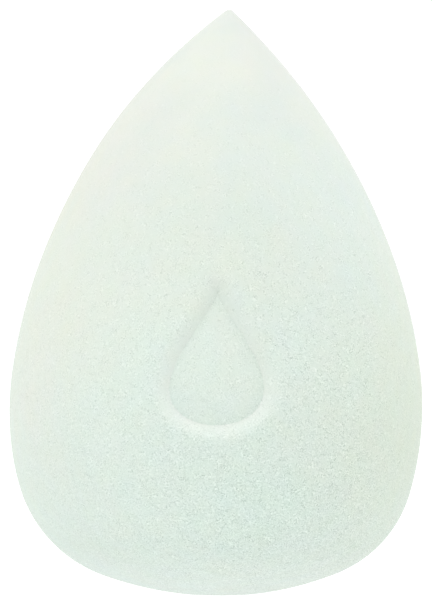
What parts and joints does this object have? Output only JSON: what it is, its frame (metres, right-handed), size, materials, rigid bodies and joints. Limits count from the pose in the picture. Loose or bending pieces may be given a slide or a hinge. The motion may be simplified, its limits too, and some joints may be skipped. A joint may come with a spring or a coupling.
{
  "type": "makeup sponge",
  "caption": "Teardrop makeup sponge of soft pale foam: a round base to press and bounce colour on, and a pointed tip for small places.",
  "frame": {"origin": "middle of the small flat that the sponge stands on", "axes": "+Z from the base up to the tip, -Y out of the front with the pressed drop mark, +X to the right as seen from the front"},
  "size_m": [0.0424, 0.0424, 0.06],
  "materials": {
    "foam": "matte, dry, very fine open-cell polyurethane foam, pale mint"
  },
  "bodies": {
    "root": {"foam_body": "foam"}
  },
  "joints": []
}
